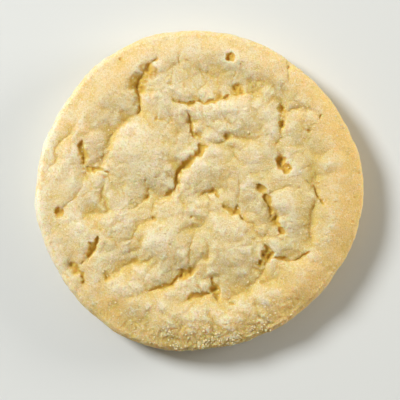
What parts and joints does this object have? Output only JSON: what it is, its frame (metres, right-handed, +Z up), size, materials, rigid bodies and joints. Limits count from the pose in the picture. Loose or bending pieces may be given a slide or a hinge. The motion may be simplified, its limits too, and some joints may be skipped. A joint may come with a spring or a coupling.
{
  "type": "sugar cookie",
  "caption": "Round soft-baked sugar cookie with a crackled, pitted top, a smooth rounded rim and a flat base.",
  "frame": {"origin": "centre of the cookie's box in plan, on the surface that it rests on", "axes": "+Z is up, through the thickness, out of the crackled top; +X and +Y are the right and the far side of the cookie as it is seen from above"},
  "size_m": [0.082, 0.08, 0.0116],
  "materials": {
    "cookie_crust": null
  },
  "bodies": {
    "root": {"cookie": "cookie_crust"}
  },
  "joints": []
}
